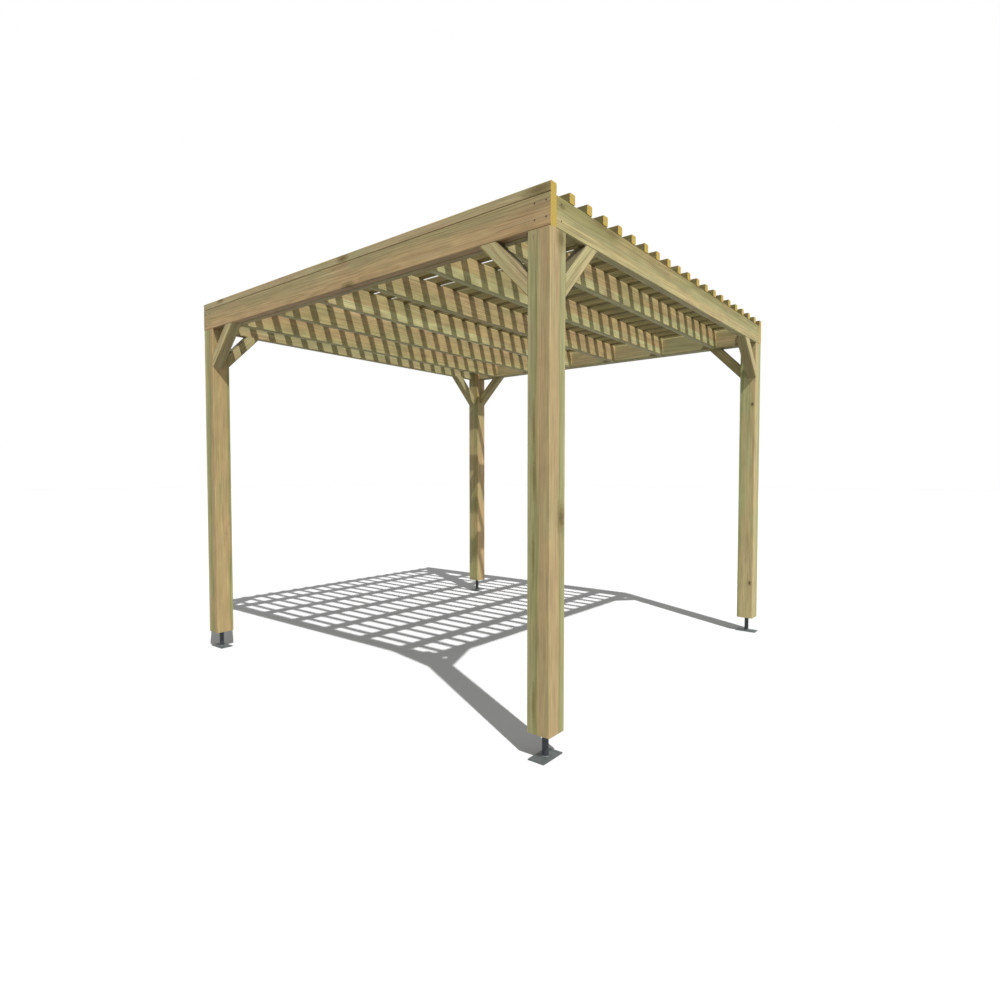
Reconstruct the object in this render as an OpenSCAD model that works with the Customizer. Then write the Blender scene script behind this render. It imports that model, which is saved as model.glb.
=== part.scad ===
// Free-standing timber pergola: four posts on steel feet, four edge beams,
// doubled side beams with joists between, a roof of slats, and paired braces.
// Millimetres, Z up. X runs along the front beam, Y from front to back.
// The ground is Z = 0 and the centre of the roof is X = Y = 0.

/* [Overall] */
// Length of the roof along X
roof_x = 3000; // [2700:50:3600]
// Length of the roof along Y
roof_y = 3000; // [2700:50:3600]
// Height from the ground to the underside of the beams
clear_height = 2297; // [1900:1:2800]
// Flat along each long edge of the planed timbers
timber_ease = 4; // [1:0.5:6]

/* [Posts] */
// Width of the square post
post_size = 120; // [100:5:145]
// Height of the post's lower end above the ground
post_lift = 115; // [90:5:150]

/* [Beams and joists] */
// Thickness of the edge beams
beam_thickness = 45; // [38:1:55]
// Depth of the edge beams
beam_depth = 140; // [120:5:170]
// Thickness of the inner beam that doubles each side beam
inner_beam_thickness = 45; // [35:1:50]
// Thickness of a joist
joist_thickness = 45; // [35:1:55]
// Depth of a joist
joist_depth = 140; // [100:5:170]
// Clear gap from the front or back beam to the nearest joist
joist_first_gap = 280; // [150:10:500]
// Gap left at each end of a beam or joist cut between two others
end_gap = 0.2; // [0:0.1:0.4]

/* [Slats] */
// Width of a slat
slat_width = 45; // [35:1:55]
// Height of a slat
slat_height = 45; // [35:1:55]

/* [Braces] */
// Thickness of a brace
brace_thickness = 70; // [50:1:90]
// Depth of a brace across its slope
brace_depth = 70; // [50:1:90]
// Distance from the post to the near end of a brace along the beam
brace_reach = 175; // [140:5:260]

/* [Feet] */
// Long side of the base plate
plate_length = 150; // [120:5:180]
// Short side of the base plate
plate_width = 84; // [60:2:110]
// Thickness of the base plate
plate_thickness = 6; // [4:0.5:10]
// Diameter of the foot's stem
stem_diameter = 30; // [20:1:40]
// Side of the square top plate hidden under the post
cap_size = 80; // [50:5:98]
// Thickness of the top plate
cap_thickness = 5; // [4:0.5:8]

/* [Hidden] */
joist_count = 6;
slat_count = 21;
beam_top = clear_height + beam_depth;
inner_x = roof_x - 2 * beam_thickness;
inner_y = roof_y - 2 * beam_thickness;
joist_pitch = (inner_y - 2 * joist_first_gap - joist_thickness) / (joist_count - 1);
slat_pitch = (roof_x - slat_width) / (slat_count - 1);
post_cx = roof_x / 2 - post_size / 2;
post_cy = roof_y / 2 - post_size / 2;
brace_outer = brace_reach + brace_depth * sqrt(2);

// Timber of one section, its lower front corner at the origin and its
// length along X, with a flat along each long edge.
module timber(length, thickness, depth) {
  e = timber_ease;
  t = thickness;
  d = depth;
  rotate([90, 0, 90]) linear_extrude(height = length)
    polygon([[e, 0], [t - e, 0], [t, e], [t, d - e], [t - e, d], [e, d], [0, d - e], [0, e]]);
}

// One foot about its own post centre, long side of the plate along X.
module foot() {
  color([0.24, 0.24, 0.25]) union() {
    translate([-plate_length / 2, -plate_width / 2, 0])
      cube([plate_length, plate_width, plate_thickness]);
    translate([0, 0, plate_thickness])
      cylinder(h = post_lift - plate_thickness - cap_thickness, d = stem_diameter, $fn = 48);
    translate([-cap_size / 2, -cap_size / 2, post_lift - cap_thickness])
      cube([cap_size, cap_size, cap_thickness]);
  }
}

// One post about its own centre, its outer faces towards -X and -Y. The
// tongue left by the two notches stands inside the corner of the beams.
module post() {
  notch = post_size / 2 + beam_thickness;
  color([0.66, 0.57, 0.38]) difference() {
    translate([-post_size / 2, -post_size / 2, beam_top]) rotate([0, 90, 0])
      timber(beam_top - post_lift, post_size, post_size);
    translate([-post_size, -post_size, clear_height])
      cube([notch, 2 * post_size, beam_depth + 1]);
    translate([-post_size, -post_size, clear_height])
      cube([2 * post_size, notch, beam_depth + 1]);
  }
}

// One brace in the plane of X and Z, running from a post face at X = 0 up
// to the underside of a beam, its outer face on Y = 0. A sloping timber is
// cut square to the post and to the beam.
module brace() {
  run = brace_outer * sqrt(2);
  color([0.62, 0.54, 0.36]) translate([0, 0, clear_height]) intersection() {
    translate([0, 0, -brace_outer]) rotate([0, -45, 0])
      timber(run, brace_thickness, brace_depth);
    translate([0, 0, -brace_outer])
      cube([brace_outer, brace_thickness, brace_outer]);
  }
}

// The two braces of the front left post, in their own places.
module brace_pair() {
  translate([-roof_x / 2 + post_size, -roof_y / 2, 0]) brace();
  translate([-roof_x / 2, -roof_y / 2 + post_size, 0])
    mirror([1, -1, 0]) brace();
}

// Timber along X, centred between two others that are a clear span apart.
module cross_timber(span, thickness, depth) {
  translate([-span / 2 + end_gap, 0, 0])
    timber(span - 2 * end_gap, thickness, depth);
}

// Timber along Y over the whole roof, its left lower edge at X = Z = 0.
module long_timber(thickness, depth) {
  translate([thickness, -roof_y / 2, 0]) rotate([0, 0, 90])
    timber(roof_y, thickness, depth);
}

module foot_front_left() {
  translate([-post_cx, -post_cy, 0]) foot();
}

module foot_front_right() {
  translate([post_cx, -post_cy, 0]) rotate([0, 0, 90]) foot();
}

module foot_back_left() {
  translate([-post_cx, post_cy, 0]) rotate([0, 0, 90]) foot();
}

module foot_back_right() {
  translate([post_cx, post_cy, 0]) foot();
}

module post_front_left() {
  translate([-post_cx, -post_cy, 0]) post();
}

module post_front_right() {
  translate([post_cx, -post_cy, 0]) mirror([1, 0, 0]) post();
}

module post_back_left() {
  translate([-post_cx, post_cy, 0]) mirror([0, 1, 0]) post();
}

module post_back_right() {
  translate([post_cx, post_cy, 0]) rotate([0, 0, 180]) post();
}

module braces_front_left() {
  brace_pair();
}

module braces_front_right() {
  mirror([1, 0, 0]) brace_pair();
}

module braces_back_left() {
  mirror([0, 1, 0]) brace_pair();
}

module braces_back_right() {
  rotate([0, 0, 180]) brace_pair();
}

module beam_front() {
  color([0.68, 0.61, 0.42])
    translate([0, -roof_y / 2, clear_height])
      cross_timber(inner_x, beam_thickness, beam_depth);
}

module beam_back() {
  color([0.66, 0.58, 0.40])
    translate([0, roof_y / 2 - beam_thickness, clear_height])
      cross_timber(inner_x, beam_thickness, beam_depth);
}

module beam_left() {
  color([0.66, 0.56, 0.39])
    translate([-roof_x / 2, 0, clear_height]) long_timber(beam_thickness, beam_depth);
}

module beam_right() {
  color([0.66, 0.56, 0.39])
    translate([roof_x / 2 - beam_thickness, 0, clear_height])
      long_timber(beam_thickness, beam_depth);
}

// Inner beam along Y between the tongues of two posts, against the left beam.
module inner_beam() {
  span = roof_y - 2 * post_size;
  color([0.66, 0.56, 0.39])
    translate([-inner_x / 2 + inner_beam_thickness, -span / 2 + end_gap, clear_height])
      rotate([0, 0, 90]) timber(span - 2 * end_gap, inner_beam_thickness, beam_depth);
}

module inner_beam_left() {
  inner_beam();
}

module inner_beam_right() {
  mirror([1, 0, 0]) inner_beam();
}

// Joist number i, counted from the front.
module joist(i) {
  y = -inner_y / 2 + joist_first_gap + (i - 1) * joist_pitch;
  color([0.70, 0.63, 0.43])
    translate([0, y, beam_top - joist_depth])
      cross_timber(inner_x - 2 * inner_beam_thickness, joist_thickness, joist_depth);
}

// Slat number i, counted from the left.
module slat(i) {
  color([0.60, 0.53, 0.35])
    translate([-roof_x / 2 + (i - 1) * slat_pitch, 0, beam_top])
      long_timber(slat_width, slat_height);
}

foot_front_left();
foot_front_right();
foot_back_left();
foot_back_right();
post_front_left();
post_front_right();
post_back_left();
post_back_right();
braces_front_left();
braces_front_right();
braces_back_left();
braces_back_right();
beam_front();
beam_back();
beam_left();
beam_right();
inner_beam_left();
inner_beam_right();
joist(1);  // joist_1
joist(2);  // joist_2
joist(3);  // joist_3
joist(4);  // joist_4
joist(5);  // joist_5
joist(6);  // joist_6
slat(1);  // slat_01
slat(2);  // slat_02
slat(3);  // slat_03
slat(4);  // slat_04
slat(5);  // slat_05
slat(6);  // slat_06
slat(7);  // slat_07
slat(8);  // slat_08
slat(9);  // slat_09
slat(10);  // slat_10
slat(11);  // slat_11
slat(12);  // slat_12
slat(13);  // slat_13
slat(14);  // slat_14
slat(15);  // slat_15
slat(16);  // slat_16
slat(17);  // slat_17
slat(18);  // slat_18
slat(19);  // slat_19
slat(20);  // slat_20
slat(21);  // slat_21
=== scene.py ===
"""Looks of a free-standing timber pergola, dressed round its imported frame.

Every timber keeps its own shape and gets a solid softwood of its own: growth
rings round a pith, heartwood, greenish treated sapwood, knots and drying
checks, all laid along that timber's grain. The steel feet get a dull grey
coat and weld beads, and the roof gets its screws. Metres, Z up.
"""

import logging
import math
from dataclasses import dataclass, replace
from enum import Enum
from typing import Any

import bpy
import numpy as np
from mathutils import Euler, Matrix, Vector


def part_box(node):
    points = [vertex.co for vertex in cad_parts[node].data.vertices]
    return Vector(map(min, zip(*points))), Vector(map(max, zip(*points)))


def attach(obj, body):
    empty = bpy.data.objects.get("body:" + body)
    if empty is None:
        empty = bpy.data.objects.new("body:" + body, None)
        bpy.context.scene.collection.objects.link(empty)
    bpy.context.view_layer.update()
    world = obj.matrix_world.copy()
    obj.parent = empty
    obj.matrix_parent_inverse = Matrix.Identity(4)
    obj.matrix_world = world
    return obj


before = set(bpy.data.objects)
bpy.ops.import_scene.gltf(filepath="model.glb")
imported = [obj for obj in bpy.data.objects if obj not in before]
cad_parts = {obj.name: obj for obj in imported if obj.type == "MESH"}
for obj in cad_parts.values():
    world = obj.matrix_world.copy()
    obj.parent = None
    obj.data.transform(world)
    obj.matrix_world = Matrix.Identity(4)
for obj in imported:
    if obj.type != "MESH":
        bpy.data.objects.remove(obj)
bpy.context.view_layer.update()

LOG = logging.getLogger("pergola")
MM = 0.001
# A noise has this middle, and keeps almost wholly between these two values.
NOISE_MIDDLE = 0.5
NOISE_LOW = 0.3
NOISE_HIGH = 0.7

Tree = bpy.types.NodeTree
Socket = bpy.types.NodeSocket
Triple = tuple[float, float, float]


class Grain(Enum):
    """Turn in degrees about X, Y and Z that lays a timber's grain along X."""

    ALONG_X = (0.0, 0.0, 0.0)
    ALONG_Y = (0.0, 0.0, -90.0)
    UPRIGHT = (0.0, 90.0, 0.0)
    UP_AND_RIGHT = (0.0, 45.0, 0.0)
    UP_AND_LEFT = (0.0, 135.0, 0.0)
    UP_AND_BACK = (-45.0, 0.0, -90.0)
    UP_AND_FORWARD = (-135.0, 0.0, -90.0)

    def turn(self) -> Euler:
        """Return the turn as an Euler rotation in radians."""
        return Euler([math.radians(angle) for angle in self.value])


def linear(colour: str) -> tuple[float, float, float, float]:
    """Turn an sRGB hex colour into linear light.

    Args:
        colour: A colour such as "#B8A877".

    Returns:
        Red, green and blue in linear light, and an alpha of 1.
    """
    shares = [int(colour[i:i + 2], 16) / 255 for i in (1, 3, 5)]
    light = [s / 12.92 if s <= 0.04045 else ((s + 0.055) / 1.055) ** 2.4 for s in shares]
    return (light[0], light[1], light[2], 1.0)


def add(tree: Tree, kind: str, inputs: dict[Any, Any] | None = None,
        **settings: Any) -> bpy.types.Node:
    """Add one node to a tree, with its settings, values and links.

    Args:
        tree: The node tree that takes the node.
        kind: The node's type, without the leading "ShaderNode".
        inputs: Each input's name or number, with the value or output it takes.
        settings: Properties of the node, such as an operation.

    Returns:
        The new node.
    """
    node = tree.nodes.new("ShaderNode" + kind)
    for name, value in settings.items():
        setattr(node, name, value)
    for key, value in (inputs or {}).items():
        if isinstance(value, Socket):
            tree.links.new(value, node.inputs[key])
        else:
            node.inputs[key].default_value = value
    return node


def fill_ramp(node: bpy.types.Node, stops: list[tuple[float, tuple[float, ...]]]) -> None:
    """Give a colour ramp its stops.

    Args:
        node: The colour ramp node.
        stops: Each stop's place from 0 to 1 and its linear colour.
    """
    elements = node.color_ramp.elements
    while len(elements) < len(stops):
        elements.new(1.0)
    for element, (place, colour) in zip(elements, stops):
        element.position = place
        element.color = colour


def empty_material(name: str) -> bpy.types.Material:
    """Return a new material whose node tree is empty."""
    material = bpy.data.materials.new(name)
    material.use_nodes = True
    material.node_tree.nodes.clear()
    return material


def at_share(low: Vector, high: Vector, share: Triple) -> Vector:
    """Return the point at these shares of a box, from its lowest corner."""
    return Vector([a + (b - a) * s for a, b, s in zip(low, high, share)])


@dataclass(frozen=True)
class Band:
    """Where something begins to show, where it shows in full, and how strongly."""

    begin: float
    full: float
    most: float = 1.0

    def of(self, value: Socket) -> dict[str, Any]:
        """Return the inputs with which a Map Range node finds this band in a value."""
        return {"Value": value, "From Min": self.begin, "From Max": self.full,
                "To Max": self.most}


@dataclass(frozen=True)
class Knot:
    """A knot, or a dark patch round one, seen on a timber's face.

    The place is given as shares of the timber's box, and the sizes are half
    widths in millimetres, along the grain and across it. The core is how
    strongly the knot's own dark wood shows.
    """

    place: Triple
    along_mm: float = 16.0
    across_mm: float = 9.0
    core: float = 1.0


@dataclass(frozen=True)
class Zone:
    """A colour of the wood from a radius outwards, in millimetres."""

    radius_mm: float
    colour: str


# Heartwood, sapwood and treated wood of one pale softwood, from the pith out.
HEART = "#BAA275"
HEART_PINK = "#BD9E77"
SAP = "#BBAA7A"
SAP_LIGHT = "#C5BA8B"
TREATED = "#A6A073"
TREATED_DARK = "#908A59"
# The dry lower edge of a joist, and the weathered wood under the roof.
EDGE_PALE = "#CDC493"
WEATHERED = "#6C613F"
WEATHERED_PALE = "#756A45"
WEATHERED_DARK = "#62583A"


@dataclass(frozen=True)
class Cut:
    """How one timber was cut from its log.

    The pith's place is given in shares of the timber's box, and may lie
    outside it. The shift moves the pattern along the grain, in metres. The
    tint multiplies the wood's red, green and blue, since no two logs match.
    """

    grain: Grain
    pith: Triple
    zones: tuple[Zone, ...]
    shift: float
    tint: Triple = (1.0, 1.0, 1.0)
    knots: tuple[Knot, ...] = ()


@dataclass(frozen=True)
class Softwood:
    """Pressure-treated spruce, planed, unsealed and new.

    Planing leaves a dull, faintly ridged surface, because the dark late wood
    of each growth ring stands proud of the soft early wood. The treatment
    turns the sapwood green and leaves the heartwood pinkish.
    """

    late_wood: str = "#8C7447"
    warm_patch: str = HEART_PINK
    green_patch: str = TREATED
    dark_streak: str = TREATED_DARK
    pale_streak: str = SAP_LIGHT
    knot_core: str = "#4F3B20"
    knot_halo: str = "#77683C"
    check: str = "#54462A"
    end_grain: str = "#C4A951"
    end_ring: str = "#9C7F34"
    # A growth ring is 2 to 4 mm wide. It is drawn wider so that it shows.
    ring_mm: float = 9.0
    ring_depth: float = 0.32
    # Lateness of the wood across one ring: a slow rise, then a sudden edge.
    ring_tones: tuple[tuple[float, float], ...] = (
        (0.0, 0.0), (0.55, 0.12), (0.86, 1.0), (1.0, 0.0))
    ring_relief: float = 0.4
    wobble_mm: float = 26.0
    wobble_length_mm: float = 900.0
    wobble_width_mm: float = 110.0
    # Fibre bundles, drawn coarser than the true 0.5 mm so that they show.
    fibre_mm: float = 4.0
    fibre_length_mm: float = 260.0
    fibre_depth: float = 0.20
    patch_mm: float = 120.0
    patch_length_mm: float = 420.0
    warm_band: Band = Band(0.52, 0.72, 0.55)
    green_band: Band = Band(0.48, 0.28, 0.6)
    streak_mm: float = 17.0
    streak_length_mm: float = 800.0
    dark_band: Band = Band(0.60, 0.74, 0.55)
    pale_band: Band = Band(0.42, 0.28, 0.5)
    # Uneven drying and treatment, which lightens and darkens whole patches.
    blotch_mm: float = 38.0
    blotch_length_mm: float = 150.0
    blotch_depth: float = 0.10
    # Drying checks run along the middle of the streaks, in the warm patches.
    check_band: Band = Band(0.008, 0.002, 0.6)
    check_patch_band: Band = Band(0.58, 0.66)
    # A knot's ragged edge, and its bands in half widths from its middle.
    rag_per_m: float = 60.0
    rag_depth: float = 1.1
    core_band: Band = Band(1.5, 0.9)
    halo_band: Band = Band(2.9, 1.2, 0.8)
    # How many ring widths the rings swing out round a knot.
    knot_swing: float = 1.5
    # Cosine between a face and the grain from which the face is a sawn end.
    end_band: Band = Band(0.8, 0.9)
    grit_per_m: float = 240.0
    # Painted shade on sloping upper faces: how much of its lightness such a face
    # keeps, and how far up a face has to look.
    upper_painted_shade: float = 1.0
    upper_shade_band: Band = Band(0.3, 0.6)
    relief_mm: float = 0.5
    relief_strength: float = 0.6
    # Roughness of the proud late wood and of the soft early wood.
    roughness: tuple[float, float] = (0.58, 0.78)
    gloss: float = 0.3

    def material(self, name: str, low: Vector, high: Vector, cuts: list[Cut],
                 split_at: float = 0.0) -> bpy.types.Material:
        """Make the wood of one timber, or of two timbers in one node.

        Args:
            name: The material's name.
            low: Lowest corner of the timber's box, in metres.
            high: Highest corner of the timber's box, in metres.
            cuts: The timber's cut, or the cuts of the two timbers.
            split_at: With two cuts, the second holds where the distance
                from the plane X = 0 is above this, in metres.

        Returns:
            The finished material.
        """
        material = empty_material(name)
        tree = material.node_tree
        place = add(tree, "TexCoord").outputs["Object"]
        cut = cuts[0]
        local = self.lay_grain(tree, place, cut, low, high)
        if len(cuts) == 2:
            apart = add(tree, "SeparateXYZ", {0: place})
            away = add(tree, "Math", {0: apart.outputs["X"]}, operation="ABSOLUTE")
            second = add(tree, "Math", {0: away.outputs[0], 1: split_at},
                         operation="GREATER_THAN")
            other = self.lay_grain(tree, place, cuts[1], low, high)
            local = add(tree, "Mix", {0: second.outputs[0], 4: local, 5: other},
                        data_type="VECTOR").outputs[1]
        moved = add(tree, "VectorMath", {0: local, 1: (cut.shift, 0.0, 0.0)},
                    operation="ADD").outputs[0]
        core, halo = self.knot_masks(tree, local, moved, cut, low, high)
        radius = self.ring_radius(tree, local, moved, halo)
        colour, relief = self.side_grain(tree, moved, radius, cut)
        for share, hue in ((halo, self.knot_halo), (core, self.knot_core)):
            colour = add(tree, "Mix", {0: share, 6: colour, 7: linear(hue)},
                         data_type="RGBA").outputs[2]
        # Painted shade: darken faces that look upwards, as if the beams shaded them.
        if self.upper_painted_shade < 1.0:
            normal = add(tree, "TexCoord").outputs["Normal"]
            up = add(tree, "SeparateXYZ", {0: normal}).outputs["Z"]
            shade_kept = add(tree, "MapRange", {**self.upper_shade_band.of(up), "To Min": 1.0,
                                          "To Max": self.upper_painted_shade}).outputs[0]
            colour = add(tree, "VectorMath", {0: colour, "Scale": shade_kept},
                         operation="SCALE").outputs[0]
        colour = self.with_ends(tree, colour, radius, moved, cut)
        rough = add(tree, "MapRange", {"Value": relief, "From Min": 0.0, "From Max": 1.0,
                                       "To Min": self.roughness[1],
                                       "To Max": self.roughness[0]})
        bump = add(tree, "Bump", {"Height": relief, "Strength": self.relief_strength,
                                  "Distance": self.relief_mm * MM})
        shader = add(tree, "BsdfPrincipled", {
            "Base Color": colour, "Roughness": rough.outputs[0],
            "Normal": bump.outputs[0], "Specular IOR Level": self.gloss})
        add(tree, "OutputMaterial", {"Surface": shader.outputs[0]})
        return material

    def lay_grain(self, tree: Tree, place: Socket, cut: Cut, low: Vector,
                  high: Vector) -> Socket:
        """Turn a place on the timber so that X runs along the grain from the pith.

        Args:
            tree: The material's node tree.
            place: The place in the object's own coordinates.
            cut: The timber's cut.
            low: Lowest corner of the timber's box.
            high: Highest corner of the timber's box.

        Returns:
            The turned place, with the pith along Y = Z = 0.
        """
        turn = cut.grain.turn()
        offset = -(turn.to_matrix() @ at_share(low, high, cut.pith))
        return add(tree, "Mapping", {"Vector": place, "Location": offset,
                                     "Rotation": turn}).outputs[0]

    def drawn_noise(self, tree: Tree, place: Socket, along_mm: float, across_mm: float,
                    detail: float, **inputs: float) -> bpy.types.Node:
        """Add a noise that is drawn out along the grain.

        It is the noise at (x / along, y / across, z / across).

        Args:
            tree: The material's node tree.
            place: The place, with X along the grain.
            along_mm: The pattern's length along the grain.
            across_mm: The pattern's width across the grain.
            detail: How many finer noises lie on the first.
            inputs: Other inputs of the noise.

        Returns:
            The noise node.
        """
        scale = (1.0 / (along_mm * MM),) + (1.0 / (across_mm * MM),) * 2
        drawn = add(tree, "VectorMath", {0: place, 1: scale}, operation="MULTIPLY").outputs[0]
        return add(tree, "TexNoise", {"Vector": drawn, "Scale": 1.0, "Detail": detail, **inputs})

    def knot_masks(self, tree: Tree, local: Socket, moved: Socket, cut: Cut, low: Vector,
                   high: Vector) -> tuple[Any, Any]:
        """Find how deep each place lies in a knot and in the dark wood round it.

        Args:
            tree: The material's node tree.
            local: The place from the pith.
            moved: The same, with the timber's own shift.
            cut: The timber's cut, with its knots.
            low: Lowest corner of the timber's box.
            high: Highest corner of the timber's box.

        Returns:
            The mask of the knots' cores and that of their surroundings.
        """
        core: Any = 0.0
        halo: Any = 0.0
        if not cut.knots:
            return core, halo
        turn = cut.grain.turn().to_matrix()
        pith = at_share(low, high, cut.pith)
        rag = add(tree, "TexNoise", {"Vector": moved, "Scale": self.rag_per_m,
                                     "Detail": 2.0}).outputs["Fac"]
        for knot in cut.knots:
            centre = turn @ (at_share(low, high, knot.place) - pith)
            size = (1.0 / (knot.along_mm * MM),) + (1.0 / (knot.across_mm * MM),) * 2
            away = add(tree, "VectorMath", {0: local, 1: centre},
                       operation="SUBTRACT").outputs[0]
            away = add(tree, "VectorMath", {0: away, 1: size},
                       operation="MULTIPLY").outputs[0]
            length = add(tree, "VectorMath", {0: away}, operation="LENGTH").outputs["Value"]
            ragged = add(tree, "Math", {0: rag, 1: self.rag_depth, 2: length},
                         operation="MULTIPLY_ADD").outputs[0]
            core_band = replace(self.core_band, most=knot.core)
            inner = add(tree, "MapRange", core_band.of(ragged)).outputs[0]
            outer = add(tree, "MapRange", self.halo_band.of(ragged)).outputs[0]
            core = add(tree, "Math", {0: core, 1: inner}, operation="MAXIMUM").outputs[0]
            halo = add(tree, "Math", {0: halo, 1: outer}, operation="MAXIMUM").outputs[0]
        return core, halo

    def ring_radius(self, tree: Tree, local: Socket, moved: Socket, halo: Any) -> Socket:
        """Measure the distance from the pith, in metres, with a natural wobble.

        Args:
            tree: The material's node tree.
            local: The place from the pith.
            moved: The same, with the timber's own shift.
            halo: The mask round the knots, where the rings swing out.

        Returns:
            The wobbly distance from the pith.
        """
        noise = self.drawn_noise(tree, moved, self.wobble_length_mm, self.wobble_width_mm,
                                 2.0).outputs["Color"]
        swing = add(tree, "VectorMath", {0: noise, 1: (NOISE_MIDDLE,) * 3},
                    operation="SUBTRACT").outputs[0]
        reach = 2.0 * self.wobble_mm * MM
        swing = add(tree, "VectorMath", {0: swing, 1: (0.0, reach, reach)},
                    operation="MULTIPLY").outputs[0]
        flat = add(tree, "VectorMath", {0: local, 1: (0.0, 1.0, 1.0), 2: swing},
                   operation="MULTIPLY_ADD").outputs[0]
        radius = add(tree, "VectorMath", {0: flat}, operation="LENGTH").outputs["Value"]
        return add(tree, "Math", {0: halo, 1: self.knot_swing * self.ring_mm * MM, 2: radius},
                   operation="MULTIPLY_ADD").outputs[0]

    def ring_phase(self, tree: Tree, radius: Socket) -> Socket:
        """Return the place across one growth ring, from 0 inside to 1 outside."""
        turns = add(tree, "Math", {0: radius, 1: 1.0 / (self.ring_mm * MM)},
                    operation="MULTIPLY").outputs[0]
        return add(tree, "Math", {0: turns}, operation="FRACT").outputs[0]

    def toned(self, tree: Tree, colour: Socket, noise: Socket, depth: float) -> Socket:
        """Lighten and darken a colour by a noise.

        Args:
            tree: The material's node tree.
            colour: The colour.
            noise: The noise.
            depth: The share by which the colour changes, up and down.

        Returns:
            The changed colour.
        """
        tone = add(tree, "MapRange", {
            "Value": noise, "From Min": NOISE_LOW, "From Max": NOISE_HIGH,
            "To Min": 1.0 - depth, "To Max": 1.0 + depth}).outputs[0]
        return add(tree, "VectorMath", {0: colour, "Scale": tone}, operation="SCALE").outputs[0]

    def side_grain(self, tree: Tree, moved: Socket, radius: Socket,
                   cut: Cut) -> tuple[Any, Any]:
        """Colour the wood along the grain and work out its relief.

        Args:
            tree: The material's node tree.
            moved: The place from the pith, with the timber's own shift.
            radius: The wobbly distance from the pith.
            cut: The timber's cut, with its colour zones.

        Returns:
            The colour and the relief, from 0 in a check to 1 on late wood.
        """
        outermost = cut.zones[-1].radius_mm * MM
        share = add(tree, "MapRange", {"Value": radius, "From Max": outermost}).outputs[0]
        zones = add(tree, "ValToRGB", {"Fac": share})
        fill_ramp(zones, [(z.radius_mm * MM / outermost, linear(z.colour)) for z in cut.zones])
        colour = zones.outputs["Color"]

        patch = self.drawn_noise(tree, moved, self.patch_length_mm, self.patch_mm,
                                 1.0).outputs["Fac"]
        streak = self.drawn_noise(tree, moved, self.streak_length_mm, self.streak_mm,
                                  2.0).outputs["Fac"]
        for noise, band, hue in ((patch, self.warm_band, self.warm_patch),
                                 (patch, self.green_band, self.green_patch),
                                 (streak, self.dark_band, self.dark_streak),
                                 (streak, self.pale_band, self.pale_streak)):
            share = add(tree, "MapRange", band.of(noise)).outputs[0]
            colour = add(tree, "Mix", {0: share, 6: colour, 7: linear(hue)},
                         data_type="RGBA").outputs[2]

        ring = add(tree, "ValToRGB", {"Fac": self.ring_phase(tree, radius)})
        fill_ramp(ring, [(place, (tone, tone, tone, 1.0)) for place, tone in self.ring_tones])
        late = add(tree, "Math", {0: ring.outputs[0], 1: self.ring_depth},
                   operation="MULTIPLY").outputs[0]
        colour = add(tree, "Mix", {0: late, 6: colour, 7: linear(self.late_wood)},
                     data_type="RGBA").outputs[2]
        fibre = self.drawn_noise(tree, moved, self.fibre_length_mm, self.fibre_mm,
                                 3.0).outputs["Fac"]
        colour = self.toned(tree, colour, fibre, self.fibre_depth)
        colour = add(tree, "VectorMath", {0: colour, 1: cut.tint},
                     operation="MULTIPLY").outputs[0]
        blotch = self.drawn_noise(tree, moved, self.blotch_length_mm, self.blotch_mm,
                                  4.0, Roughness=0.6).outputs["Fac"]
        colour = self.toned(tree, colour, blotch, self.blotch_depth)

        line = add(tree, "Math", {0: streak, 1: NOISE_MIDDLE}, operation="SUBTRACT").outputs[0]
        line = add(tree, "Math", {0: line}, operation="ABSOLUTE").outputs[0]
        crack = add(tree, "MapRange", self.check_band.of(line)).outputs[0]
        where = add(tree, "MapRange", self.check_patch_band.of(patch)).outputs[0]
        crack = add(tree, "Math", {0: crack, 1: where}, operation="MULTIPLY").outputs[0]
        colour = add(tree, "Mix", {0: crack, 6: colour, 7: linear(self.check)},
                     data_type="RGBA").outputs[2]
        height = add(tree, "Math", {0: ring.outputs[0], 1: self.ring_relief, 2: fibre},
                     operation="MULTIPLY_ADD").outputs[0]
        relief = add(tree, "Math", {0: height, 1: crack}, operation="SUBTRACT").outputs[0]
        return colour, relief

    def with_ends(self, tree: Tree, side: Socket, radius: Socket, moved: Socket,
                  cut: Cut) -> Socket:
        """Show the sawn end grain on the faces that cross the grain.

        Args:
            tree: The material's node tree.
            side: The colour along the grain.
            radius: The wobbly distance from the pith.
            moved: The place from the pith, with the timber's own shift.
            cut: The timber's cut.

        Returns:
            The colour over the whole timber.
        """
        axis = cut.grain.turn().to_matrix().transposed() @ Vector((1.0, 0.0, 0.0))
        normal = add(tree, "TexCoord").outputs["Normal"]
        facing = add(tree, "VectorMath", {0: normal, 1: axis},
                     operation="DOT_PRODUCT").outputs["Value"]
        facing = add(tree, "Math", {0: facing}, operation="ABSOLUTE").outputs[0]
        end = add(tree, "MapRange", self.end_band.of(facing)).outputs[0]
        grit = add(tree, "TexNoise", {"Vector": moved, "Scale": self.grit_per_m,
                                      "Detail": 2.0}).outputs["Fac"]
        ring = add(tree, "Math", {0: self.ring_phase(tree, radius), 1: grit},
                   operation="MULTIPLY").outputs[0]
        sawn = add(tree, "Mix", {0: ring, 6: linear(self.end_grain), 7: linear(self.end_ring)},
                   data_type="RGBA").outputs[2]
        return add(tree, "Mix", {0: end, 6: side, 7: sawn}, data_type="RGBA").outputs[2]


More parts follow.
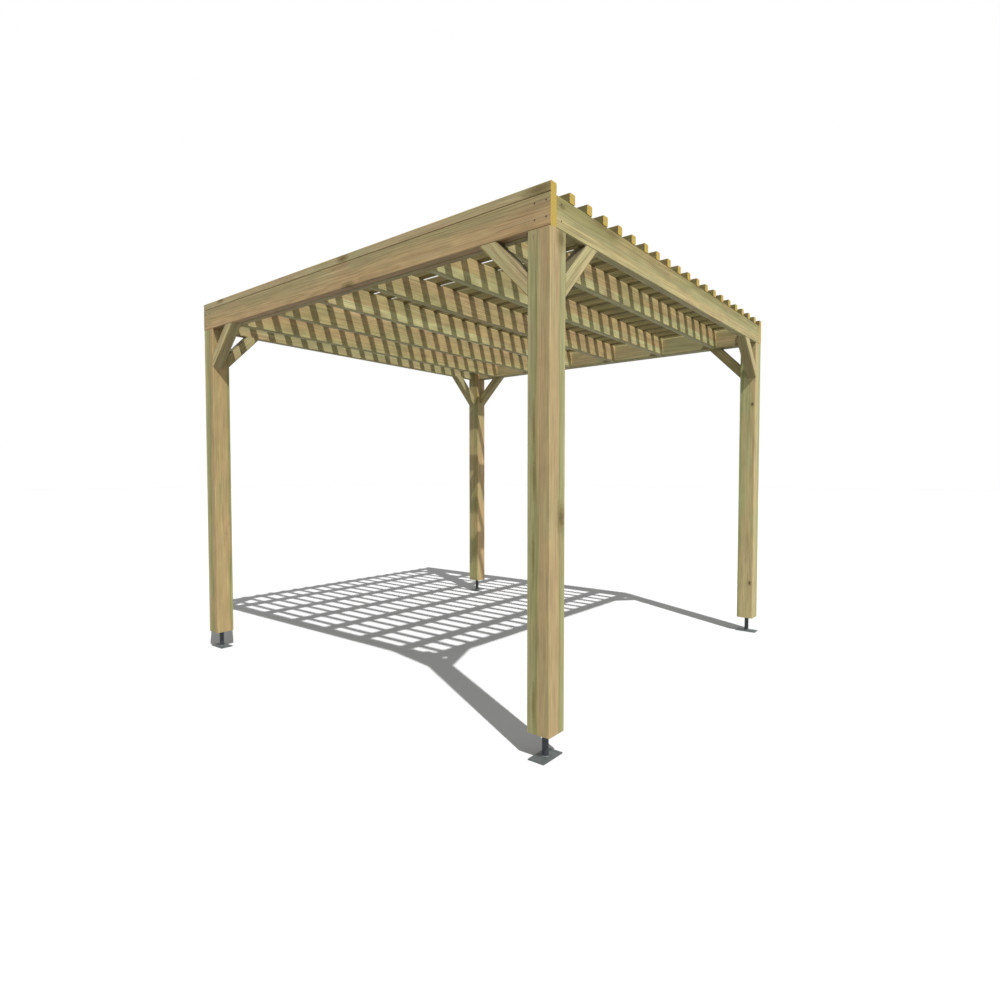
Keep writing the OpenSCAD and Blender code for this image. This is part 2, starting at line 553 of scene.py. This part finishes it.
@dataclass(frozen=True)
class Steel:
    """Mild steel with a dull grey coat over zinc.

    Dipping leaves a soft, slightly clouded satin surface with no sharp
    reflection. The stem carries painted shade: a darker colour than the base
    plate, as if in the post's shadow.
    """

    name: str
    coat: str = "#6A716E"
    cloud: str = "#575D5C"
    # Painted shade: a foot's stem takes this darker colour as if in the post's shadow. A screw
    # lies wholly above the plate and takes it as its own coat.
    stem: str = "#3E4145"
    # The stem's painted shade, its darker colour, begins above the base plate, and fades in.
    stem_from_mm: float = 9.0
    stem_fade_mm: float = 3.0
    cloud_mm: float = 9.0
    cloud_band: Band = Band(0.35, 0.65)
    metallic: float = 0.35
    roughness: tuple[float, float] = (0.48, 0.64)
    relief_mm: float = 0.08
    relief_strength: float = 0.5

    def material(self) -> bpy.types.Material:
        """Make the coated steel.

        Returns:
            The finished material.
        """
        material = empty_material(self.name)
        tree = material.node_tree
        place = add(tree, "TexCoord").outputs["Object"]
        cloud = add(tree, "TexNoise", {"Vector": place, "Scale": 1.0 / (self.cloud_mm * MM),
                                       "Detail": 3.0}).outputs["Fac"]
        share = add(tree, "MapRange", self.cloud_band.of(cloud)).outputs[0]
        colour = add(tree, "Mix", {0: share, 6: linear(self.coat), 7: linear(self.cloud)},
                     data_type="RGBA").outputs[2]
        height = add(tree, "SeparateXYZ", {0: place}).outputs["Z"]
        # Painted shade on the stem, above the base plate.
        stem_shade_band = Band(self.stem_from_mm * MM, (self.stem_from_mm + self.stem_fade_mm) * MM)
        above = add(tree, "MapRange", stem_shade_band.of(height)).outputs[0]
        colour = add(tree, "Mix", {0: above, 6: colour, 7: linear(self.stem)},
                     data_type="RGBA").outputs[2]
        rough = add(tree, "MapRange", {
            "Value": cloud, "From Min": NOISE_LOW, "From Max": NOISE_HIGH,
            "To Min": self.roughness[0], "To Max": self.roughness[1]})
        bump = add(tree, "Bump", {"Height": cloud, "Strength": self.relief_strength,
                                  "Distance": self.relief_mm * MM})
        shader = add(tree, "BsdfPrincipled", {
            "Base Color": colour, "Roughness": rough.outputs[0],
            "Metallic": self.metallic, "Normal": bump.outputs[0]})
        add(tree, "OutputMaterial", {"Surface": shader.outputs[0]})
        return material


def dress(node: str, material: bpy.types.Material) -> None:
    """Give a node of the frame its material, and report it.

    Args:
        node: The node's name.
        material: The material that its slot takes.
    """
    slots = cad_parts[node].data.materials
    slots.clear()
    slots.append(material)
    LOG.info("%s: %s", node, material.name)


def dress_timber(node: str, wood: Softwood, cuts: list[Cut], split_at: float = 0.0) -> None:
    """Dress a node in wood of its own.

    Args:
        node: The node's name.
        wood: The wood.
        cuts: The cut of its timber, or of its two timbers.
        split_at: Where the second timber's cut holds, as the wood takes it.
    """
    dress(node, wood.material("treated_spruce_" + node, *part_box(node), cuts, split_at))


def new_piece(name: str, points: np.ndarray, faces: np.ndarray,
              material: bpy.types.Material, slot: str) -> bpy.types.Object:
    """Make a smooth piece from arrays, and let it ride on the frame.

    Args:
        name: The piece's name.
        points: One row of X, Y and Z for each point, in metres.
        faces: One row of point numbers for each four-sided face.
        material: The piece's material.
        slot: The record's material slot that it belongs to. It is not used.

    Returns:
        The new object.
    """
    mesh = bpy.data.meshes.new(name)
    mesh.vertices.add(len(points))
    mesh.vertices.foreach_set("co", points.astype(np.float32).ravel())
    mesh.loops.add(faces.size)
    mesh.loops.foreach_set("vertex_index", faces.astype(np.int32).ravel())
    mesh.polygons.add(len(faces))
    starts = np.arange(len(faces), dtype=np.int32) * faces.shape[1]
    mesh.polygons.foreach_set("loop_start", starts)
    mesh.polygons.foreach_set("use_smooth", np.full(len(faces), True))
    mesh.update(calc_edges=True)
    mesh.validate()
    mesh.materials.append(material)
    piece = bpy.data.objects.new(name, mesh)
    bpy.context.scene.collection.objects.link(piece)
    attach(piece, "root")
    LOG.info("%s: %d faces, %s", name, len(faces), material.name)
    return piece


def revolved(profile: np.ndarray, sides: int) -> tuple[np.ndarray, np.ndarray]:
    """Turn a closed profile about Z.

    The point at angle a on profile row (r, z) is (r cos a, r sin a, z).

    Args:
        profile: Rows of radius and height, in order round the closed outline,
            counter-clockwise with the radius to the right and height up.
        sides: How many steps go round.

    Returns:
        The points, and the four-sided faces that point outwards.
    """
    rows = len(profile)
    angle = np.linspace(0.0, 2.0 * np.pi, sides, endpoint=False)
    x = np.cos(angle)[:, None] * profile[None, :, 0]
    y = np.sin(angle)[:, None] * profile[None, :, 0]
    z = np.broadcast_to(profile[None, :, 1], x.shape)
    points = np.stack([x, y, z], axis=-1).reshape(-1, 3)
    step, row = np.meshgrid(np.arange(sides), np.arange(rows), indexing="ij")
    after, above = (step + 1) % sides, (row + 1) % rows
    faces = np.stack([step * rows + row, after * rows + row,
                      after * rows + above, step * rows + above], axis=-1)
    return points, faces.reshape(-1, 4)


def repeated(points: np.ndarray, faces: np.ndarray, places: np.ndarray,
             turns: np.ndarray) -> tuple[np.ndarray, np.ndarray]:
    """Copy one shape to many places as a single mesh.

    Copy k of point p is turns[k] p + places[k].

    Args:
        points: The shape's points.
        faces: The shape's faces.
        places: One row of X, Y and Z for each copy.
        turns: One 3 by 3 rotation for each copy.

    Returns:
        The points and faces of all copies.
    """
    moved = np.einsum("kij,pj->kpi", turns, points) + places[:, None, :]
    first = np.arange(len(places))[:, None, None] * len(points)
    return moved.reshape(-1, 3), (faces[None] + first).reshape(-1, faces.shape[1])


@dataclass
class Posts:
    """The four square posts, each with its own log."""

    wood: Softwood
    zones: tuple[Zone, ...] = (
        Zone(0, HEART), Zone(45, HEART_PINK), Zone(62, HEART), Zone(72, TREATED_DARK),
        Zone(84, TREATED), Zone(104, TREATED), Zone(122, SAP_LIGHT))
    # Two faint knots on the front face, and olive streaks on the left face.
    near_knots: tuple[Knot, ...] = (
        Knot((0.68, 0.0, 0.925), 30, 22, 0.3), Knot((0.74, 0.0, 0.41), 42, 20, 0.45),
        Knot((0.0, 0.7, 0.575), 70, 4, 0.0), Knot((0.0, 0.68, 0.485), 60, 5, 0.0),
        Knot((0.0, 0.71, 0.34), 80, 4, 0.0), Knot((0.0, 0.69, 0.06), 55, 5, 0.0))
    right_knots: tuple[Knot, ...] = (
        Knot((0.0, 0.2, 0.733), 12, 9), Knot((0.0, 0.2, 0.122), 12, 9))

    def build(self) -> None:
        """Dress the posts, the heartwood of each towards its front left edge."""
        up, zones = Grain.UPRIGHT, self.zones
        cuts = {
            "post_front_left": Cut(up, (0.0, 0.0, 0.0), zones, 0.0, (0.9, 0.95, 0.92),
                                   self.near_knots),
            "post_front_right": Cut(up, (0.2, 0.3, 0.0), zones, 7.3, (1.02, 1.2, 1.14),
                                    self.right_knots),
            "post_back_left": Cut(up, (0.3, -0.1, 0.0), zones, 13.1, (0.9, 0.94, 0.86)),
            "post_back_right": Cut(up, (0.6, 0.2, 0.0), zones, 21.9, (1.0, 1.02, 0.95)),
        }
        for name, cut in cuts.items():
            dress_timber(name, self.wood, [cut])


@dataclass
class Beams:
    """The four edge beams on the posts, and the inner beams that double the side ones."""

    wood: Softwood
    side_zones: tuple[Zone, ...] = (
        Zone(0, HEART), Zone(60, HEART_PINK), Zone(95, HEART), Zone(120, SAP),
        Zone(150, TREATED))
    end_zones: tuple[Zone, ...] = (
        Zone(0, SAP_LIGHT), Zone(40, SAP_LIGHT), Zone(70, SAP), Zone(95, TREATED),
        Zone(130, TREATED_DARK))
    left_knots: tuple[Knot, ...] = (Knot((0.0, 0.449, 0.02), 34, 14, 0.3),)
    # Dark stains along the front beam's upper edge and at its left end.
    front_stains: tuple[Knot, ...] = (
        Knot((0.13, 0.0, 0.93), 50, 10, 0.0), Knot((0.165, 0.0, 0.87), 36, 9, 0.0),
        Knot((0.55, 0.0, 0.96), 46, 8, 0.0), Knot((0.015, 0.0, 0.75), 14, 8, 0.0))

    def build(self) -> None:
        """Dress the beams."""
        side, end = self.side_zones, self.end_zones
        cuts = {
            "beam_left": Cut(Grain.ALONG_Y, (2.5, 0.0, 0.1), side, 0.0, (0.97, 0.88, 0.88),
                             self.left_knots),
            "beam_right": Cut(Grain.ALONG_Y, (-1.5, 0.0, 0.2), side, 5.7, (0.88, 1.06, 1.04)),
            "beam_front": Cut(Grain.ALONG_X, (0.0, 1.0, -0.1), end, 11.3, (0.95, 0.95, 0.88),
                              self.front_stains),
            "inner_beam_left": Cut(Grain.ALONG_Y, (2.5, 0.0, 0.6), side, 31.3,
                                   (0.9, 0.9, 0.84)),
            "inner_beam_right": Cut(Grain.ALONG_Y, (-1.5, 0.0, 0.4), side, 37.9,
                                    (0.9, 1.06, 1.06)),
            "beam_back": Cut(Grain.ALONG_X, (0.0, 1.6, 0.1), end, 17.9, (0.97, 1.02, 1.04)),
        }
        for name, cut in cuts.items():
            dress_timber(name, self.wood, [cut])


@dataclass
class Joists:
    """The joists between the inner beams, some with a pale lower edge."""

    wood: Softwood
    count: int = 6
    edged: tuple[int, ...] = (1, 2, 4)
    edged_zones: tuple[Zone, ...] = (
        Zone(0, SAP), Zone(60, HEART), Zone(92, HEART), Zone(102, EDGE_PALE),
        Zone(150, EDGE_PALE))
    plain_zones: tuple[Zone, ...] = (
        Zone(0, SAP), Zone(50, HEART_PINK), Zone(90, HEART), Zone(120, SAP),
        Zone(150, SAP_LIGHT))
    pith: Triple = (0.0, 1.2, 0.95)
    tint: Triple = (0.93, 0.97, 0.9)
    shift_step: float = 3.7

    def build(self) -> None:
        """Dress the joists."""
        for i in range(1, self.count + 1):
            zones = self.edged_zones if i in self.edged else self.plain_zones
            cut = Cut(Grain.ALONG_X, self.pith, zones, self.shift_step * i, self.tint)
            dress_timber(f"joist_{i}", self.wood, [cut])


@dataclass
class Slats:
    """The slats of the roof, the first planed pale and the others darker."""

    wood: Softwood
    dark_wood: Softwood
    count: int = 21
    pale_zones: tuple[Zone, ...] = (
        Zone(0, HEART), Zone(30, HEART), Zone(50, SAP), Zone(70, HEART))
    dark_zones: tuple[Zone, ...] = (
        Zone(0, WEATHERED), Zone(30, WEATHERED_PALE), Zone(50, WEATHERED_DARK),
        Zone(70, WEATHERED))
    knots: tuple[Knot, ...] = (
        Knot((0.0, 0.02, 0.5), 50, 16, 0.2), Knot((0.0, 0.465, 0.5), 30, 12, 0.3),
        Knot((0.0, 0.92, 0.8), 26, 12, 0.3))
    pith: Triple = (0.8, 0.0, -0.2)
    pale_tint: Triple = (0.9, 0.93, 1.0)
    dark_tint: Triple = (1.35, 1.38, 1.3)
    shift_step: float = 2.9

    def build(self) -> None:
        """Dress the slats, counted from the left."""
        for i in range(1, self.count + 1):
            shift = self.shift_step * i
            if i == 1:
                wood = self.wood
                cut = Cut(Grain.ALONG_Y, self.pith, self.pale_zones, shift, self.pale_tint,
                          self.knots)
            else:
                wood = self.dark_wood
                cut = Cut(Grain.ALONG_Y, self.pith, self.dark_zones, shift, self.dark_tint)
            dress_timber(f"slat_{i:02d}", wood, [cut])


@dataclass
class Braces:
    """The corner braces, two to a node: one under an end beam, one under a side beam."""

    wood: Softwood
    zones: tuple[Zone, ...] = (
        Zone(0, HEART), Zone(40, SAP), Zone(80, SAP_LIGHT), Zone(120, SAP))
    pith: Triple = (0.5, 0.5, 0.1)
    tint: Triple = (0.98, 1.06, 1.08)
    shift_step: float = 1.9
    # The plane between the two braces of a pair, outwards from the post's inner face.
    split_inset: float = 20 * MM

    def build(self) -> None:
        """Dress the braces, the end beam's first in each pair."""
        ways = {
            "braces_front_left": (Grain.UP_AND_RIGHT, Grain.UP_AND_BACK),
            "braces_front_right": (Grain.UP_AND_LEFT, Grain.UP_AND_BACK),
            "braces_back_left": (Grain.UP_AND_RIGHT, Grain.UP_AND_FORWARD),
            "braces_back_right": (Grain.UP_AND_LEFT, Grain.UP_AND_FORWARD),
        }
        split_at = abs(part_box("post_front_left")[1].x) + self.split_inset
        for number, (name, grains) in enumerate(ways.items()):
            cuts = [Cut(grain, self.pith, self.zones, self.shift_step * number, self.tint)
                    for grain in grains]
            dress_timber(name, self.wood, cuts, split_at)


@dataclass
class Feet:
    """The four steel feet and their weld beads."""

    steel: Steel
    names: tuple[str, ...] = (
        "foot_front_left", "foot_front_right", "foot_back_left", "foot_back_right")
    stem_radius: float = 15 * MM
    plate_top: float = 6 * MM
    bead: float = 5 * MM
    # How far the bead reaches into the stem, so that no gap shows.
    bead_sunk: float = 0.3 * MM
    # The bead's hollow face, in shares of its size outwards and up.
    bead_profile: tuple[tuple[float, float], ...] = (
        (0.0, 0.0), (1.0, 0.0), (0.52, 0.22), (0.25, 0.5), (0.0, 1.0))
    ripples: int = 26
    ripple_depth: float = 0.1
    steps_per_ripple: int = 4

    def build(self) -> None:
        """Dress the feet and weld each stem to its base plate."""
        material = self.steel.material()
        bead, faces = self.weld()
        for name in self.names:
            dress(name, material)
            low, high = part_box(name)
            centre = (low + high) / 2
            points = bead + np.array([centre.x, centre.y, self.plate_top])
            new_piece(name + "_weld", points, faces, material, "foot_steel")

    def weld(self) -> tuple[np.ndarray, np.ndarray]:
        """Shape one weld bead round the stem.

        The section is a triangle with a hollow face, and its size swells
        and sinks by a tenth as a cosine of the ripples round the stem.

        Returns:
            The points and the faces.
        """
        profile = np.array(self.bead_profile) + [1.0, 0.0]
        points, faces = revolved(profile, self.steps_per_ripple * self.ripples)
        angle = np.arctan2(points[:, 1], points[:, 0])
        out = np.hypot(points[:, 0], points[:, 1]) - 1.0
        swell = self.bead * (1.0 + self.ripple_depth * np.cos(self.ripples * angle))
        radius = self.stem_radius - self.bead_sunk + out * swell
        points = np.stack([radius * np.cos(angle), radius * np.sin(angle),
                           points[:, 2] * swell], axis=-1)
        return points, faces


@dataclass
class Screws:
    """The screws of the beams' corners and of the slats."""

    steel: Steel
    head_radius: float = 4 * MM
    proud: float = 0.5 * MM
    sides: int = 12
    # Heights of the corner screws, in shares of the beam's depth.
    rows: tuple[float, float] = (0.28, 0.775)
    joists: int = 6
    slats: int = 21

    def head(self) -> tuple[np.ndarray, np.ndarray]:
        """Shape one screw head along +Z.

        A shallow dome with a round recess in its middle.

        Returns:
            The points and the faces.
        """
        r, top = self.head_radius, self.proud
        profile = np.array([[0.02 * r, -0.2 * r], [r, -0.2 * r], [r, 0.4 * top],
                            [0.8 * r, top], [0.42 * r, top], [0.3 * r, -0.1 * r],
                            [0.02 * r, -0.1 * r]])
        return revolved(profile, self.sides)

    def corner_places(self) -> tuple[np.ndarray, np.ndarray]:
        """Place the screws that join the beams at the roof's corners.

        Returns:
            One row of X, Y and Z for each screw, and its outward direction.
        """
        low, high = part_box("beam_left")
        thick = high.x - low.x
        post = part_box("post_front_left")
        tongue = (low.x + thick + post[1].x) / 2 - low.x
        heights = [low.z + share * (high.z - low.z) for share in self.rows]
        x_out, y_out = -low.x, -low.y
        places, ways = [], []
        for sx in (-1, 1):
            for sy in (-1, 1):
                for z in heights:
                    for inset in (thick / 2, tongue):
                        places.append((sx * x_out, sy * (y_out - inset), z))
                        ways.append((sx, 0, 0))
                    places.append((sx * (x_out - tongue), sy * y_out, z))
                    ways.append((0, sy, 0))
        return np.array(places, float), np.array(ways, float)

    def slat_places(self) -> tuple[np.ndarray, np.ndarray]:
        """Place a screw where each slat crosses an end beam or a joist.

        Returns:
            One row of X, Y and Z for each screw, and its outward direction.
        """
        across = ["beam_front", "beam_back"]
        across += [f"joist_{i}" for i in range(1, self.joists + 1)]
        ys = [sum(corner.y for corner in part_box(name)) / 2 for name in across]
        slats = [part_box(f"slat_{i:02d}") for i in range(1, self.slats + 1)]
        xs = [(low.x + high.x) / 2 for low, high in slats]
        x, y = np.meshgrid(xs, ys, indexing="ij")
        z = np.full(x.size, slats[0][1].z)
        return np.stack([x.ravel(), y.ravel(), z], axis=-1), np.tile([0.0, 0.0, 1.0], (x.size, 1))

    def build(self) -> None:
        """Set the screws of the corners and of the slats."""
        material = self.steel.material()
        points, faces = self.head()
        for name, (places, ways) in (("corner_screws", self.corner_places()),
                                     ("slat_screws", self.slat_places())):
            turns = np.array([np.array(Vector(way).to_track_quat("Z", "Y").to_matrix())
                              for way in ways])
            new_piece(name, *repeated(points, faces, places, turns), material, "foot_steel")


@dataclass
class Studio:
    """Pale floor, soft light, one sun and the camera."""

    floor_colour: str = "#A3A3A3"
    floor_reach: float = 60.0
    floor_steps: int = 12
    sun_way: Triple = (0.3245, 0.6336, -1.0)
    sun_strength: float = 3.3
    sun_angle: float = math.radians(0.7)
    # A second lamp along the first that lights only the floor, to keep it white.
    floor_sun_strength: float = 5.2
    sky: float = 0.76
    ground: float = 0.27
    # Height at which the sky's light begins, on a ball of radius 1.
    horizon_blend: float = 0.15
    # How much more light comes from the front than from the back.
    front_share: float = 0.25
    eye: Triple = (-3.6691, -2.9609, 1.2453)
    yaw: float = 51.407
    pitch: float = -2.168
    lens: float = 22.13

    def build(self) -> None:
        """Set the floor, the lights and the camera."""
        self.lay_floor()
        self.light_world()
        self.hang_sun("sun", self.sun_strength)
        self.set_camera()

    def lay_floor(self) -> None:
        """Lay a flat square floor, a grid of points at Z = 0."""
        line = np.linspace(-self.floor_reach, self.floor_reach, self.floor_steps + 1)
        x, y = np.meshgrid(line, line, indexing="ij")
        points = np.stack([x, y, np.zeros_like(x)], axis=-1).reshape(-1, 3)
        steps = np.arange(self.floor_steps)
        row, step = np.meshgrid(steps, steps, indexing="ij")
        over = self.floor_steps + 1
        corner = row * over + step
        faces = np.stack([corner, corner + over, corner + over + 1, corner + 1], axis=-1)
        mesh = bpy.data.meshes.new("floor")
        mesh.from_pydata(points.tolist(), [], faces.reshape(-1, 4).tolist())
        floor = bpy.data.objects.new("floor", mesh)
        bpy.context.scene.collection.objects.link(floor)
        material = empty_material("matt_painted_floor")
        shader = add(material.node_tree, "BsdfDiffuse", {"Color": linear(self.floor_colour)})
        add(material.node_tree, "OutputMaterial", {"Surface": shader.outputs[0]})
        mesh.materials.append(material)
        floor.visible_diffuse = False
        self.hang_sun("floor_sun", self.floor_sun_strength, floor)

    def light_world(self) -> None:
        """Light the scene softly, brighter from above than from below."""
        world = bpy.data.worlds.new("studio")
        world.use_nodes = True
        tree = world.node_tree
        tree.nodes.clear()
        way = add(tree, "TexCoord").outputs["Generated"]
        parts = add(tree, "SeparateXYZ", {0: way}).outputs
        soft = add(tree, "MapRange", {
            "Value": parts["Z"], "From Min": -self.horizon_blend,
            "From Max": self.horizon_blend, "To Min": self.ground,
            "To Max": self.sky}).outputs[0]
        front = add(tree, "Math", {0: parts["Y"], 1: -self.front_share, 2: 1.0},
                    operation="MULTIPLY_ADD").outputs[0]
        soft = add(tree, "Math", {0: soft, 1: front}, operation="MULTIPLY").outputs[0]
        seen = add(tree, "LightPath").outputs["Is Camera Ray"]
        strength = add(tree, "Mix", {0: seen, 2: soft, 3: 1.0}, data_type="FLOAT").outputs[0]
        light = add(tree, "Background", {"Color": (1.0, 1.0, 1.0, 1.0), "Strength": strength})
        add(tree, "OutputWorld", {"Surface": light.outputs[0]})
        bpy.context.scene.world = world

    def hang_sun(self, name: str, strength: float,
                 only_on: bpy.types.Object | None = None) -> None:
        """Hang a sun, which draws the slats' shadows.

        Args:
            name: The lamp's name.
            strength: Its strength in watts per square metre.
            only_on: The one object that it lights, or None for all of them.
        """
        sun = bpy.data.lights.new(name, "SUN")
        sun.energy = strength
        sun.angle = self.sun_angle
        lamp = bpy.data.objects.new(name, sun)
        lamp.rotation_euler = Vector(self.sun_way).to_track_quat("-Z", "Y").to_euler()
        bpy.context.scene.collection.objects.link(lamp)
        if only_on is not None:
            lit = bpy.data.collections.new(name + "_lights")
            lit.objects.link(only_on)
            lamp.light_linking.receiver_collection = lit

    def set_camera(self) -> None:
        """Set the camera at standing height in front of the left corner."""
        data = bpy.data.cameras.new("camera")
        data.lens = self.lens
        data.clip_end = 3 * self.floor_reach
        camera = bpy.data.objects.new("camera", data)
        camera.location = self.eye
        camera.rotation_euler = (math.radians(90 + self.pitch), 0.0, -math.radians(self.yaw))
        bpy.context.scene.collection.objects.link(camera)
        bpy.context.scene.camera = camera
        bpy.context.scene.view_settings.view_transform = "Standard"


def main() -> None:
    """Build the studio, then dress and finish each part of the pergola."""
    logging.basicConfig(level=logging.INFO, format="%(name)s: %(message)s")
    wood = Softwood()
    joist_wood = replace(wood, wobble_mm=14.0, blotch_depth=0.17)
    # The braces' sloping upper faces get painted shade.
    brace_wood = replace(wood, ring_depth=0.5, fibre_depth=0.3, upper_painted_shade=0.36)
    beam_wood = replace(wood, ring_depth=0.4, fibre_depth=0.26, fibre_length_mm=420.0)
    dark_wood = replace(wood, late_wood="#4F4429", warm_patch="#70603F", green_patch="#67633F",
                        dark_streak="#4E4729", pale_streak="#847A52")
    coated = Steel("dark_coated_steel")
    screw = Steel("browned_screw_steel", coat="#3B342A", cloud="#2A2520", stem="#322C24",
                  cloud_mm=3.0)
    for part in (Studio(), Feet(coated), Posts(wood), Beams(beam_wood), Joists(joist_wood),
                 Slats(wood, dark_wood), Braces(brace_wood), Screws(screw)):
        LOG.info("building %s", type(part).__name__)
        part.build()


if __name__ == "__main__":
    main()
